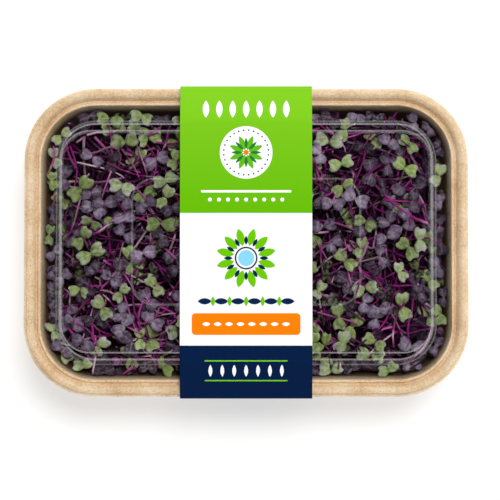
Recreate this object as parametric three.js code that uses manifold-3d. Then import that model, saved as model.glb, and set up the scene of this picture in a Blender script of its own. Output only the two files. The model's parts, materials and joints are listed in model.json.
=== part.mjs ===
// A moulded-fibre tray of cut red cabbage microgreens, with a clear pressed-on lid and a card sleeve round it.
// Millimetres, +Z up, +X along the tray. The origin is the centre of the underside, on the table.
import * as THREE from "three";
import { mergeVertices } from "three/addons/utils/BufferGeometryUtils.js";
import Module from "manifold-3d";

const wasm = await Module();
wasm.setup();

// Tray
const TRAY_LENGTH = 173;
const TRAY_WIDTH = 120;
const TRAY_HEIGHT = 42;
const CORNER_RADIUS = 28;
const FIBRE = 0.9;
const FLOOR_FILLET = 5;
const CORNER_STEPS = 6;

// Lid
const LID_SHEET = 0.35;
const PANEL_HALF_LENGTH = 43.8;
const PANEL_HALF_WIDTH = 24;
const PANEL_RADIUS = 9;

// Sleeve
const SLEEVE_WIDTH = 51.2;
const CARD = 0.45;
const LAP = 7;
const SLEEVE_FOOT = 46.3;
const FOOT_BEND = 1.2;
const FLAT_TOP = 45;
const TOP_BEND = 3.6;
const RIM_DEPTH = 4.2;
const RIM_BEND = 1.1;

// Pieces that touch keep this gap
const GAP = 0.3;

// Levels
const TRAY_BASE = 2 * CARD + GAP;
const RIM_TOP = TRAY_BASE + TRAY_HEIGHT;

// Microgreens
const SEED = 4169;
const CLUMP_COLUMNS = 7;
const CLUMP_ROWS = 4;
const COLUMN_PITCH = 20.2;
const ROW_PITCH = 22;
const SPROUTS_IN_CLUMP = 6;
const LYING_IN_CLUMP = 2;
const HEAD_SPREAD = 1.07;
const HEAD_BELOW_LID = 2.2;
const CORE_TOP = 23;
const CORE_RADIUS = 10.3;
const ROOT_DEPTH = 5;
const ROOT_SPREAD = 0.45;
const STEM_RADIUS = 0.75;
const STEM_SHARES = [0.7, 0.36, 0.03];
const LOBE_LENGTH = 6;
const LOBE_HALF_WIDTH = 3.3;
const PETIOLE = 1.3;
const LEAF_HALF_THICKNESS = 0.45;
const TILT = 0.7;
const FOLD_RANGE = [-0.05, 0.4];
const SIZE_RANGE = [0.86, 1.12];
const CLEARANCE = 2.4;
const WALL_ROOM = 1;
const LID_ROOM = 0.9;
const TRIES = 200;

// A lying sprout reaches further from its clump than an upright one, and its stem comes in from the side.
const LYING = { nearest: 8, furthest: 18, drop: 3.5, lowHandle: 0.7, highHandle: 5, sideways: 1.2 };
const UPRIGHT = { nearest: 0, furthest: 10.5, drop: 8, lowHandle: 0.5, highHandle: 7, sideways: 0 };

const COLOURS = {
  fibre: 0xc9a67c,
  clear: 0xe8eeee,
  card: 0x6fc21a,
  green_sprouts: 0x6f8a55,
  purple_sprouts: 0x6a4a72,
};

function material(name, roughness, opacity = 1) {
  const settings = { color: COLOURS[name], roughness, metalness: 0, opacity, transparent: opacity < 1 };
  return new THREE.MeshStandardMaterial(settings);
}

// Points round a rectangle with round corners, anticlockwise from above.
function roundedRectangle(halfLength, halfWidth, radius) {
  const points = [];
  const corners = [[1, 1], [-1, 1], [-1, -1], [1, -1]];
  corners.forEach(([sx, sy], quarter) => {
    for (let step = 0; step <= CORNER_STEPS; step++) {
      const angle = ((quarter + step / CORNER_STEPS) * Math.PI) / 2;
      const x = sx * (halfLength - radius) + radius * Math.cos(angle);
      const y = sy * (halfWidth - radius) + radius * Math.sin(angle);
      points.push([x, y]);
    }
  });
  return points;
}

// A closed skin through rings of equal point count, with a flat cap on the first and the last ring.
function skinThroughRings(rings) {
  const count = rings[0].length;
  const positions = rings.flat(2);
  const faces = [];
  for (let i = 0; i + 1 < rings.length; i++) {
    for (let j = 0; j < count; j++) {
      const next = (j + 1) % count;
      const [a, b] = [i * count + j, i * count + next];
      const [c, d] = [a + count, b + count];
      faces.push(a, c, b, b, c, d);
    }
  }
  const last = (rings.length - 1) * count;
  for (let j = 1; j + 1 < count; j++) {
    faces.push(0, j, j + 1);
    faces.push(last, last + j + 1, last + j);
  }
  return geometryFrom(positions, faces);
}

function geometryFrom(positions, faces) {
  const geometry = new THREE.BufferGeometry();
  geometry.setAttribute("position", new THREE.Float32BufferAttribute(positions, 3));
  geometry.setIndex(faces);
  return geometry;
}

// A station is a rounded rectangle at a height: the tray's outline drawn in by an inset.
function station(inset, height) {
  return {
    halfLength: TRAY_LENGTH / 2 - inset,
    halfWidth: TRAY_WIDTH / 2 - inset,
    radius: CORNER_RADIUS - inset,
    z: RIM_TOP + height,
  };
}

function ringAt({ halfLength, halfWidth, radius, z }) {
  return roundedRectangle(halfLength, halfWidth, radius).map(([x, y]) => [x, y, z]);
}

// The stations moved off their own profile by a distance, to the left of its way outwards.
function offsetStations(stations, distance) {
  const normals = [];
  for (let i = 0; i + 1 < stations.length; i++) {
    const out = stations[i + 1].halfWidth - stations[i].halfWidth;
    const up = stations[i + 1].z - stations[i].z;
    const length = Math.hypot(out, up);
    normals.push([-up / length, out / length]);
  }
  return stations.map((s, i) => {
    const before = normals[Math.max(i - 1, 0)];
    const after = normals[Math.min(i, normals.length - 1)];
    const sum = [before[0] + after[0], before[1] + after[1]];
    const scale = (2 * distance) / (sum[0] ** 2 + sum[1] ** 2);
    const out = sum[0] * scale;
    return {
      halfLength: s.halfLength + out,
      halfWidth: s.halfWidth + out,
      radius: s.radius + out,
      z: s.z + sum[1] * scale,
    };
  });
}

// The visible side of the tray, from the floor outwards to the lip.
const FLOOR_HEIGHT = FIBRE - TRAY_HEIGHT;
const WALL_FOOT_INSET = 14.5;
const WALL_TOP_INSET = 6.5;
const WALL_TOP_HEIGHT = -1.6;
const WALL_FOOT_HEIGHT = FLOOR_HEIGHT + FLOOR_FILLET;

function trayProfile() {
  const floorInset = WALL_FOOT_INSET + FLOOR_FILLET;
  const fillet = [0, 30, 60].map((degrees) => {
    const angle = THREE.MathUtils.degToRad(degrees);
    const inset = floorInset - FLOOR_FILLET * Math.sin(angle);
    return station(inset, FLOOR_HEIGHT + FLOOR_FILLET * (1 - Math.cos(angle)));
  });
  return [
    ...fillet,
    station(WALL_FOOT_INSET, WALL_FOOT_HEIGHT),
    station(WALL_TOP_INSET, WALL_TOP_HEIGHT),
    station(4.7, WALL_TOP_HEIGHT),
    station(3.8, 0),
    station(1.5, 0),
    station(0.95, -1.9),
    station(0, -2.1),
  ];
}

function tray() {
  const inside = trayProfile();
  const outside = offsetStations(inside, -FIBRE).reverse();
  const rings = [...inside, ...outside].map(ringAt);
  const mesh = new THREE.Mesh(skinThroughRings(rings), material("fibre", 0.95));
  mesh.name = "tray";
  return mesh;
}

// The side of the lid that faces the tray, from the raised middle panel outwards to the skirt.
const FIELD_HEIGHT = -3.55;
const PLATFORM_HEIGHT = 2.85;
const RIDGE_HEIGHT = 3.85;
const PANEL_HEIGHT = 3.6;
const RIDGE_FOOT_INSET = 12.6;
const RIDGE_TOP_INSET = 15;

function panelStation(grow, height) {
  return {
    halfLength: PANEL_HALF_LENGTH + grow,
    halfWidth: PANEL_HALF_WIDTH + grow,
    radius: PANEL_RADIUS + grow,
    z: RIM_TOP + height,
  };
}

function lidProfile() {
  return [
    panelStation(0, PANEL_HEIGHT),
    panelStation(0.9, PLATFORM_HEIGHT),
    station(17.9, PLATFORM_HEIGHT),
    station(17.2, RIDGE_HEIGHT),
    station(RIDGE_TOP_INSET, RIDGE_HEIGHT),
    station(RIDGE_FOOT_INSET, FIELD_HEIGHT),
    station(7.6, FIELD_HEIGHT),
    station(6.9, -1.3),
    station(5.1, -1.3),
    station(3.9, GAP),
    station(1.45, GAP),
    station(0.75, -0.25),
    station(0.6, -1.6),
  ];
}

function lid() {
  const underside = lidProfile();
  const upside = offsetStations(underside, LID_SHEET);
  const rings = [...upside, ...underside.reverse()].map(ringAt);
  const mesh = new THREE.Mesh(skinThroughRings(rings), material("clear", 0.05, 0.25));
  mesh.name = "lid";
  return mesh;
}

// The sleeve is a strip of card wrapped round the tray, with its ends lapped and glued underneath.
const SLEEVE_TOP = RIM_TOP + RIDGE_HEIGHT + LID_SHEET + GAP + CARD;
const LIP_SIDE = TRAY_WIDTH / 2 + GAP + CARD;

function sleeveOutline(inwards) {
  const shape = inwards === 0 ? new THREE.Shape() : new THREE.Path();
  const side = LIP_SIDE - inwards;
  const foot = SLEEVE_FOOT - inwards;
  const top = SLEEVE_TOP - inwards;
  const bottom = inwards;
  const rimLow = RIM_TOP - RIM_DEPTH;
  const fold = RIM_TOP + (CARD - inwards) / 2;
  const slope = FLAT_TOP + TOP_BEND;
  shape.moveTo(-foot + FOOT_BEND, bottom);
  if (inwards === 0) {
    shape.lineTo(LAP, bottom);
    shape.lineTo(LAP, bottom + CARD);
  } else {
    shape.lineTo(-LAP, bottom);
    shape.lineTo(-LAP, bottom + CARD);
    shape.lineTo(LAP, bottom + CARD);
  }
  shape.lineTo(3 * LAP, bottom);
  shape.lineTo(foot - FOOT_BEND, bottom);
  shape.quadraticCurveTo(foot, bottom, foot + 0.4, bottom + FOOT_BEND);
  shape.lineTo(side - 0.3, rimLow);
  shape.lineTo(side, rimLow + 1.5);
  shape.lineTo(side, fold);
  shape.quadraticCurveTo(side, fold + 0.9 * RIM_BEND, side - RIM_BEND, fold + RIM_BEND);
  shape.lineTo(slope, top - 0.35);
  shape.quadraticCurveTo(slope - TOP_BEND / 2, top, FLAT_TOP, top);
  shape.lineTo(-FLAT_TOP, top);
  shape.quadraticCurveTo(-slope + TOP_BEND / 2, top, -slope, top - 0.35);
  shape.lineTo(-side + RIM_BEND, fold + RIM_BEND);
  shape.quadraticCurveTo(-side, fold + 0.9 * RIM_BEND, -side, fold);
  shape.lineTo(-side, rimLow + 1.5);
  shape.lineTo(-side + 0.3, rimLow);
  shape.lineTo(-foot - 0.4, bottom + FOOT_BEND);
  shape.quadraticCurveTo(-foot, bottom, -foot + FOOT_BEND, bottom);
  return shape;
}

function sleeve() {
  const section = sleeveOutline(0);
  section.holes.push(sleeveOutline(CARD));
  const settings = { depth: SLEEVE_WIDTH, bevelEnabled: false, curveSegments: 3 };
  const geometry = new THREE.ExtrudeGeometry(section, settings);
  geometry.translate(0, 0, -SLEEVE_WIDTH / 2);
  const mesh = new THREE.Mesh(geometry, material("card", 0.45));
  mesh.name = "sleeve";
  // The section is drawn in Y and Z, and it is swept along X.
  mesh.rotation.set(0, Math.PI / 2, Math.PI / 2, "YXZ");
  return mesh;
}

// The same simple generator gives the same draws wherever the plan is repeated.
function makeRandom(seed) {
  let state = seed;
  return () => {
    state = (state * 1664525 + 1013904223) % 4294967296;
    return state / 4294967296;
  };
}

// How far a point lies inside the tray's outline drawn in by an inset.
function distanceInside(x, y, inset) {
  const radius = CORNER_RADIUS - inset;
  const dx = Math.abs(x) - (TRAY_LENGTH / 2 - inset - radius);
  const dy = Math.abs(y) - (TRAY_WIDTH / 2 - inset - radius);
  const outside = Math.hypot(Math.max(dx, 0), Math.max(dy, 0));
  return radius - outside - Math.min(Math.max(dx, dy), 0);
}

// How far a point lies inside the tray's wall, measured in plan at its height.
function roomInside([x, y, z]) {
  const height = z - RIM_TOP;
  const slope = (WALL_FOOT_INSET - WALL_TOP_INSET) / (WALL_TOP_HEIGHT - WALL_FOOT_HEIGHT);
  const inFillet = Math.max(WALL_FOOT_HEIGHT - height, 0);
  const onWall = Math.max(WALL_TOP_HEIGHT - Math.max(height, WALL_FOOT_HEIGHT), 0);
  return distanceInside(x, y, WALL_TOP_INSET + slope * onWall + inFillet);
}

// The underside of the lid over a point: low round the edge and higher within the ridge.
function ceilingOver(x, y) {
  const within = distanceInside(x, y, RIDGE_TOP_INSET + 0.6);
  return RIM_TOP + (within > 0 ? PLATFORM_HEIGHT : FIELD_HEIGHT);
}

function unit([x, y, z]) {
  const length = Math.sqrt(x * x + y * y + z * z);
  return [x / length, y / length, z / length];
}

function dot(a, b) {
  return a[0] * b[0] + a[1] * b[1] + a[2] * b[2];
}

function cross(a, b) {
  return [a[1] * b[2] - a[2] * b[1], a[2] * b[0] - a[0] * b[2], a[0] * b[1] - a[1] * b[0]];
}

// The origin moved along each direction by its amount.
function combine(origin, ...terms) {
  const sum = [...origin];
  for (const [direction, amount] of terms) {
    for (let axis = 0; axis < 3; axis++) sum[axis] += direction[axis] * amount;
  }
  return sum;
}

// A point on the stem, from its root at 0 to the head at 1, on a cubic curve through two handles.
function stemPoint(sprout, t) {
  const s = 1 - t;
  const weights = [s * s * s, 3 * s * s * t, 3 * s * t * t, t * t * t];
  return combine([0, 0, 0], ...sprout.stem.map((point, i) => [point, weights[i]]));
}

// One side of a cotyledon's edge, as shares of its length and half width, from its stalk to the notched tip.
const LOBE_EDGE = [
  [0.0, 0.16],
  [0.2, 0.86],
  [0.66, 1.0],
  [1.0, 0.5],
];
const NOTCH = 0.77;
const MIDDLE = 0.42;
const CUP = 0.08;

// A sprout's pair of cotyledons opens to both sides of its stem, and each is folded up by the same angle.
function lobesOf(sprout) {
  return [1, -1].map((side) => {
    const outwards = combine([0, 0, 0], [sprout.along, side * Math.cos(sprout.fold)]);
    return { side, along: combine(outwards, [sprout.up, Math.sin(sprout.fold)]) };
  });
}

function lobePoint(sprout, lobe, share, width, raise = 0) {
  const along = (PETIOLE + share * LOBE_LENGTH) * sprout.size;
  const across = width * LOBE_HALF_WIDTH * sprout.size;
  const lift = CUP * across * across + raise;
  return combine(sprout.head, [lobe.along, along], [sprout.across, across], [sprout.up, lift]);
}

// Points spread over a sprout, about two millimetres apart, that stand for it where it must keep clear.
function markersOf(sprout) {
  const markers = [];
  for (let i = 1; i <= 12; i++) markers.push(stemPoint(sprout, i / 12));
  for (const lobe of lobesOf(sprout)) {
    for (const width of [-1, 1]) {
      for (const [share, edge] of LOBE_EDGE) markers.push(lobePoint(sprout, lobe, share, width * edge));
      markers.push(lobePoint(sprout, lobe, 0.45, width * 0.48));
    }
    for (const share of [0, MIDDLE, NOTCH]) markers.push(lobePoint(sprout, lobe, share, 0));
  }
  return markers;
}

function between([low, high], share) {
  return low + (high - low) * share;
}

// One draw of a sprout in a posture: its place, the way it faces, its size and its stem's four handles.
function drawSprout(random, clump, posture) {
  const draws = Array.from({ length: 8 }, random);
  const bearing = 2 * Math.PI * draws[0];
  const outwards = [Math.cos(bearing), Math.sin(bearing), 0];
  const reach = between([posture.nearest, posture.furthest], Math.sqrt(draws[1]));
  const centre = [clump.x * HEAD_SPREAD, clump.y * HEAD_SPREAD, 0];
  const [x, y] = combine(centre, [outwards, reach]);
  const z = ceilingOver(x, y) - HEAD_BELOW_LID - posture.drop * draws[2];
  const turn = 2 * Math.PI * draws[3];
  const up = unit([TILT * (draws[4] - 0.5), TILT * (draws[5] - 0.5), 1]);
  const across = unit(cross(up, [Math.cos(turn), Math.sin(turn), 0]));
  const head = [x, y, z];
  const root = combine([clump.x, clump.y, CORE_TOP - ROOT_DEPTH], [outwards, ROOT_SPREAD * CORE_RADIUS]);
  const lowHandle = combine(root, [[0, 0, 1], posture.lowHandle * (z - root[2])]);
  const highHandle = combine(head, [up, -posture.highHandle], [outwards, -posture.sideways]);
  return {
    clump: clump.index,
    head,
    up,
    across,
    along: cross(across, up),
    fold: between(FOLD_RANGE, draws[6]),
    size: between(SIZE_RANGE, draws[7]),
    stem: [root, lowHandle, highHandle, head],
  };
}

function closerThan(limit, someMarkers, otherMarkers) {
  return someMarkers.some(([x, y, z]) =>
    otherMarkers.some((m) => (m[0] - x) ** 2 + (m[1] - y) ** 2 + (m[2] - z) ** 2 < limit * limit),
  );
}

// A sprout fits if it keeps off the wall, the lid and the sprouts that already stand.
function fits(sprout, markers, standing) {
  for (const marker of markers) {
    if (marker[2] > CORE_TOP && roomInside(marker) < WALL_ROOM) return false;
    if (marker[2] > ceilingOver(marker[0], marker[1]) - LID_ROOM) return false;
  }
  const overCore = markers.filter((marker) => marker[2] > CORE_TOP + 2);
  return standing.every((other) => {
    return !closerThan(CLEARANCE, other.clump === sprout.clump ? overCore : markers, other.markers);
  });
}

// The whole plan: clumps on a grid over the floor, and the sprouts that stand out of each.
function planClumps() {
  const random = makeRandom(SEED);
  const clumps = [];
  const standing = [];
  for (let row = 0; row < CLUMP_ROWS; row++) {
    for (let column = 0; column < CLUMP_COLUMNS; column++) {
      const x = (column - (CLUMP_COLUMNS - 1) / 2) * COLUMN_PITCH;
      const y = (row - (CLUMP_ROWS - 1) / 2) * ROW_PITCH;
      const green = (column + 2 * row) % 5 < 2;
      clumps.push({ index: clumps.length, x, y, green, sprouts: [] });
    }
  }
  for (let turn = 0; turn < SPROUTS_IN_CLUMP; turn++) {
    for (const clump of clumps) {
      for (let attempt = 0; attempt < TRIES; attempt++) {
        const sprout = drawSprout(random, clump, turn < LYING_IN_CLUMP ? LYING : UPRIGHT);
        const markers = markersOf(sprout);
        if (fits(sprout, markers, standing)) {
          standing.push({ clump: clump.index, markers });
          clump.sprouts.push(sprout);
          break;
        }
      }
    }
  }
  return clumps;
}

// The packed stems low in the tray, as an eight-sided core that keeps off the wall and the next cores.
function coreRings(clump) {
  const floor = RIM_TOP + FLOOR_HEIGHT + GAP;
  const levels = [
    [0.6 * CORE_RADIUS, CORE_TOP],
    [CORE_RADIUS, CORE_TOP - 4],
    [CORE_RADIUS, floor + FLOOR_FILLET],
    [0.7 * CORE_RADIUS, floor],
  ];
  return levels.map(([radius, z]) => {
    return Array.from({ length: 8 }, (_, i) => {
      const angle = ((i + 0.5) * Math.PI) / 4;
      const point = [clump.x + radius * Math.cos(angle), clump.y + radius * Math.sin(angle), z];
      const excess = Math.max(1.2 - roomInside(point), 0);
      const reach = radius - 1.5 * excess;
      return [clump.x + reach * Math.cos(angle), clump.y + reach * Math.sin(angle), z];
    });
  });
}

// A direction carried round by the turn that takes one heading to another.
function turned(direction, from, to) {
  const axis = cross(from, to);
  const once = cross(axis, direction);
  return unit(combine(direction, [once, 1], [cross(axis, once), 1 / (1 + dot(from, to))]));
}

function stemHeading(sprout, t) {
  return unit(combine(stemPoint(sprout, t + 0.02), [stemPoint(sprout, t - 0.02), -1]));
}

// A four-sided ring square to the stem at a share of its length, a little wider towards the root.
function stemRing(sprout, t, side, heading) {
  const front = cross(side, heading);
  const radius = STEM_RADIUS * (1.15 - 0.3 * t);
  const here = stemPoint(sprout, t);
  return [
    combine(here, [side, radius]),
    combine(here, [front, radius]),
    combine(here, [side, -radius]),
    combine(here, [front, -radius]),
  ];
}

// A sprout is one closed skin: two cotyledons, thickest along their middle, that meet in a neck on the stem.
function sproutSkin(sprout) {
  const neck = 0.62;
  const positions = [
    combine(sprout.head, [sprout.across, neck]),
    combine(sprout.head, [sprout.along, 0.5], [sprout.up, -0.5]),
    combine(sprout.head, [sprout.across, -neck]),
    combine(sprout.head, [sprout.along, -0.5], [sprout.up, -0.5]),
    combine(sprout.head, [sprout.up, 0.5]),
  ];
  const [left, front, right, back, top] = [0, 1, 2, 3, 4];
  const faces = [];
  for (const lobe of lobesOf(sprout)) {
    const first = positions.length;
    const edge = [
      ...LOBE_EDGE.map(([share, width]) => lobePoint(sprout, lobe, share, width)),
      lobePoint(sprout, lobe, NOTCH, 0),
      ...[...LOBE_EDGE].reverse().map(([share, width]) => lobePoint(sprout, lobe, share, -width)),
    ];
    positions.push(...edge);
    positions.push(lobePoint(sprout, lobe, MIDDLE, 0, LEAF_HALF_THICKNESS));
    positions.push(lobePoint(sprout, lobe, MIDDLE, 0, -LEAF_HALF_THICKNESS));
    const [above, below] = [positions.length - 2, positions.length - 1];
    const under = lobe.side > 0 ? front : back;
    const rim = [left, ...edge.map((_, i) => first + i), right];
    const addFace = (a, b, c) => faces.push(...(lobe.side > 0 ? [a, b, c] : [a, c, b]));
    for (let i = 0; i + 1 < rim.length; i++) {
      addFace(above, rim[i + 1], rim[i]);
      addFace(below, rim[i], rim[i + 1]);
    }
    addFace(above, top, right);
    addFace(above, left, top);
    addFace(below, right, under);
    addFace(below, under, left);
  }
  let upper = [left, front, right, back];
  let heading = sprout.up;
  let side = sprout.across;
  for (const t of STEM_SHARES) {
    const lower = [0, 1, 2, 3].map((i) => positions.length + i);
    side = turned(side, heading, stemHeading(sprout, t));
    heading = stemHeading(sprout, t);
    positions.push(...stemRing(sprout, t, side, heading));
    for (let i = 0; i < 4; i++) {
      const next = (i + 1) % 4;
      faces.push(upper[i], upper[next], lower[i], upper[next], lower[next], lower[i]);
    }
    upper = lower;
  }
  faces.push(upper[0], upper[1], upper[2], upper[0], upper[2], upper[3]);
  return geometryFrom(positions.flat(), faces);
}

function toSolid(geometry) {
  const bare = geometry.clone();
  bare.deleteAttribute("normal");
  bare.deleteAttribute("uv");
  const merged = mergeVertices(bare, 1e-4);
  const mesh = new wasm.Mesh({
    numProp: 3,
    vertProperties: new Float32Array(merged.attributes.position.array),
    triVerts: new Uint32Array(merged.index.array),
  });
  return new wasm.Manifold(mesh);
}

function toGeometry(solid) {
  const mesh = solid.getMesh();
  const positions = [];
  for (let i = 0; i < mesh.numVert; i++) {
    positions.push(...mesh.vertProperties.subarray(i * mesh.numProp, i * mesh.numProp + 3));
  }
  return geometryFrom(positions, [...mesh.triVerts]);
}

function clumpMesh(clump) {
  let solid = toSolid(skinThroughRings(coreRings(clump)));
  for (const sprout of clump.sprouts) solid = solid.add(toSolid(sproutSkin(sprout)));
  const colour = clump.green ? "green_sprouts" : "purple_sprouts";
  const mesh = new THREE.Mesh(toGeometry(solid), material(colour, 0.6));
  mesh.name = `sprouts_${String(clump.index + 1).padStart(2, "0")}`;
  return mesh;
}

function microgreens() {
  const group = new THREE.Group();
  for (const clump of planClumps()) group.add(clumpMesh(clump));
  return group;
}

const pack = new THREE.Group();
pack.add(tray(), lid(), sleeve(), microgreens());
export default pack;
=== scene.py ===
# Red cabbage microgreens in a moulded-fibre tray, under a clear pressed-on lid and a printed card sleeve.
import json
import math
import random

import bmesh
import bpy
import numpy as np
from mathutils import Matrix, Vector

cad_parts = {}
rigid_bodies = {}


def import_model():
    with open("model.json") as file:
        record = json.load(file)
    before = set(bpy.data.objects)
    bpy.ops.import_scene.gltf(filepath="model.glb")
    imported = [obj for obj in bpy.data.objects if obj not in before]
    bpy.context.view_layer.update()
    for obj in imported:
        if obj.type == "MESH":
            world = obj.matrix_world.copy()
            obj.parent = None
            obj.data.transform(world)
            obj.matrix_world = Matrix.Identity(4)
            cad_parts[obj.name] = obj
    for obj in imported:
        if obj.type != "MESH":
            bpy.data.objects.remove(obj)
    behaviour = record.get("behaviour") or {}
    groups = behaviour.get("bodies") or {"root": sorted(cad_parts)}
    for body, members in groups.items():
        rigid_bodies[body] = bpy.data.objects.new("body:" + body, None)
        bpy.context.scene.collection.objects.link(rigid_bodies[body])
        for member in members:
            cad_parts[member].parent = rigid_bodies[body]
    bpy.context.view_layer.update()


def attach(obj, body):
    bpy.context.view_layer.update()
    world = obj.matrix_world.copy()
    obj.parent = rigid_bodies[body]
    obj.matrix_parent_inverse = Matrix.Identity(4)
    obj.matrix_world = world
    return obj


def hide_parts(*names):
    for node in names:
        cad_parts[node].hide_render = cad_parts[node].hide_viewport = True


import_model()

MM = 0.001

# The tray, from its rim down. An inset is how far a line lies inside the tray's outline.
TRAY_LENGTH = 173.0
TRAY_WIDTH = 120.0
TRAY_HEIGHT = 42.0
CORNER_RADIUS = 28.0
CORNER_SEGMENTS = 24
FIBRE = 0.9
FLOOR_FILLET = 5.0
CARD = 0.45
GAP = 0.3
TRAY_BASE = 2 * CARD + GAP
RIM_TOP = TRAY_BASE + TRAY_HEIGHT
FLOOR_HEIGHT = FIBRE - TRAY_HEIGHT
WALL_TOP_INSET = 6.5
WALL_TOP_HEIGHT = -1.6
WALL_FOOT_INSET = 14.5
WALL_FOOT_HEIGHT = FLOOR_HEIGHT + FLOOR_FILLET
WALL_RUN = (WALL_FOOT_INSET - WALL_TOP_INSET) / (WALL_TOP_HEIGHT - WALL_FOOT_HEIGHT)
GROOVE_HEIGHT = WALL_TOP_HEIGHT - 1.1
# Inwards from this inset, the tray's inside gets painted shade.
PAINTED_SHADE_FROM_INSET = WALL_TOP_INSET - 0.2

# The lid. The panel's edge goes up from the platform in steps of (run, rise).
LID_SHEET = 0.35
FIELD_HEIGHT = -3.55
PLATFORM_HEIGHT = 2.85
RIDGE_HEIGHT = 3.85
RIDGE_TOP_INSET = 15.0
RIDGE_INNER_INSET = 16.9
RIDGE_INNER_SIDE = (RIDGE_INNER_INSET - 0.8, 20.0)
RIDGE_OUTER_WALL = (12.0, 15.0)
NARROWER_AT_ENDS = 2.1
PANEL_HALF_LENGTH = 43.8
PANEL_HALF_WIDTH = 24.0
PANEL_EDGE = 0.9
PANEL_STEPS = ((0.3, 0.12), (0.35, 0.5), (0.3, 0.13))

# Where the lid's sheet is hazy: on narrow faces near the field's and the crest's heights, and at the panel.
# On these bends the whiter haze is painted highlight.
BEND_WIDTH = 0.34
BENDS_FROM_INSET = 11.0
PANEL_FROM_INSET = 30.0
NEAR_FIELD = 0.7
NEAR_CREST = 0.2
BEND_SHEET, PANEL_SHEET, WALL_SHEET = 1, 2, 3

# The sleeve
SLEEVE_WIDTH = 51.2
SLEEVE_TOP = RIM_TOP + RIDGE_HEIGHT + LID_SHEET + GAP + CARD
SLEEVE_SIDE = TRAY_WIDTH / 2 + GAP + CARD
SLEEVE_FOOT = 46.3
LAP = 7.0

# The sleeve's print: where its blocks and ornaments lie across the tray
GREEN_FROM = 11.0
NAVY_FROM = -40.3
OVALS_AT = 51.5
ROSETTE_AT = 34.5
RULE_AT = 19.4
DOTS_AT = 16.2
FLOWER_AT = -6.5
CHAIN_AT = -23.2
BAR_AT = -32.0
NAVY_OVALS_AT = -50.0
NAVY_RULES_AT = (-46.2, -53.8)

# The photograph's framing, in millimetres at the rim's height
FIELD_OF_VIEW = 194.3
VIEW_CENTRE = (1.5, -3.1)
CAMERA_DISTANCE = 1000.0
CAMERA_ELEVATION = 87.0
SENSOR = 36.0

# The studio. The sky's glow is given at the heights of its directions, from 0 at the horizon to 1 overhead.
SKY_GLOW = ((0.0, 1.9), (0.3, 1.9), (0.55, 0.75), (0.8, 0.3), (0.93, 0.03))
SKY_STRENGTH = 0.42
FLOOR_SIZE = 4
FLOOR_TONE = 0.41
FLOOR_GLOW = 0.585
KEY_LIGHT = {"direction": (0.12, 0.24, 1.0), "spread": 18, "strength": 2.5}
SIDE_WINDOW = {"direction": (1.0, 0.7, 0.8), "spread": 60, "strength": 0.75}


def deselect_all():
    for item in bpy.context.view_layer.objects:
        item.select_set(False)


def select_only(*items):
    deselect_all()
    for item in items:
        item.select_set(True)
    bpy.context.view_layer.objects.active = items[0]


def apply_modifier(item, kind, **settings):
    modifier = item.modifiers.new(kind.title(), kind)
    for key, value in settings.items():
        setattr(modifier, key, value)
    select_only(item)
    bpy.ops.object.modifier_apply(modifier=modifier.name)


def place_in_mesh(item):
    select_only(item)
    bpy.ops.object.transform_apply(location=True, rotation=True, scale=True)


# Camera

def set_camera():
    data = bpy.data.cameras.new("camera")
    data.sensor_width = SENSOR
    data.lens = SENSOR * CAMERA_DISTANCE / FIELD_OF_VIEW
    data.clip_end = 10
    camera = bpy.data.objects.new("camera", data)
    bpy.context.scene.collection.objects.link(camera)
    tilt = math.radians(90 - CAMERA_ELEVATION)
    aim = Vector((VIEW_CENTRE[0], VIEW_CENTRE[1], RIM_TOP)) * MM
    back = Vector((0, -math.sin(tilt), math.cos(tilt))) * CAMERA_DISTANCE * MM
    camera.location = aim + back
    camera.rotation_euler = (tilt, 0, 0)
    bpy.context.scene.camera = camera


# Lights and floor

def add_sun(name, direction, spread, strength):
    """Even light from a direction, as soft as a window that covers a spread of degrees."""
    data = bpy.data.lights.new(name, "SUN")
    data.energy = strength
    data.angle = math.radians(spread)
    light = bpy.data.objects.new(name, data)
    light.rotation_euler = Vector(direction).to_track_quat("Z", "Y").to_euler()
    light.visible_glossy = False
    bpy.context.scene.collection.objects.link(light)


def set_world():
    world = bpy.data.worlds.new("studio")
    bpy.context.scene.world = world
    world.use_nodes = True
    tree = world.node_tree
    coordinates = tree.nodes.new("ShaderNodeTexCoord")
    split = tree.nodes.new("ShaderNodeSeparateXYZ")
    tree.links.new(coordinates.outputs["Generated"], split.inputs[0])
    stops = [(height, (glow, glow, glow)) for height, glow in SKY_GLOW]
    sky = ramp(tree, Field(tree, split.outputs["Z"]), stops)
    background = tree.nodes["Background"]
    tree.links.new(sky, background.inputs["Color"])
    background.inputs["Strength"].default_value = SKY_STRENGTH


def set_stage():
    bpy.ops.mesh.primitive_plane_add(size=FLOOR_SIZE, location=(0, 0, 0))
    floor = bpy.context.object
    floor.name = "floor"
    paper = new_material("white paper floor", (FLOOR_TONE, FLOOR_TONE, FLOOR_TONE), 0.9)
    shader_of(paper).inputs["Emission Color"].default_value = (1, 1, 1, 1)
    shader_of(paper).inputs["Emission Strength"].default_value = FLOOR_GLOW
    floor.data.materials.append(paper)
    add_sun("key", **KEY_LIGHT)
    add_sun("side window", **SIDE_WINDOW)
    scene = bpy.context.scene
    scene.view_settings.view_transform = "Standard"
    scene.view_settings.look = "None"


# Materials

class Field:
    """A number that varies over a surface, made of math nodes."""

    def __init__(self, tree, socket):
        self.tree = tree
        self.socket = socket

    def math(self, operation, *others):
        node = self.tree.nodes.new("ShaderNodeMath")
        node.operation = operation
        for place, item in enumerate((self, *others)):
            if isinstance(item, Field):
                self.tree.links.new(item.socket, node.inputs[place])
            else:
                node.inputs[place].default_value = item
        return Field(self.tree, node.outputs[0])

    def __add__(self, other):
        return self.math("ADD", other)

    def __sub__(self, other):
        return self.math("SUBTRACT", other)

    def __mul__(self, other):
        return self.math("MULTIPLY", other)

    def __abs__(self):
        return self.math("ABSOLUTE")

    def below(self, limit):
        return self.math("LESS_THAN", limit)

    def above(self, limit):
        return self.math("GREATER_THAN", limit)

    def both(self, other):
        return self.math("MINIMUM", other)

    def either(self, other):
        return self.math("MAXIMUM", other)


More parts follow.
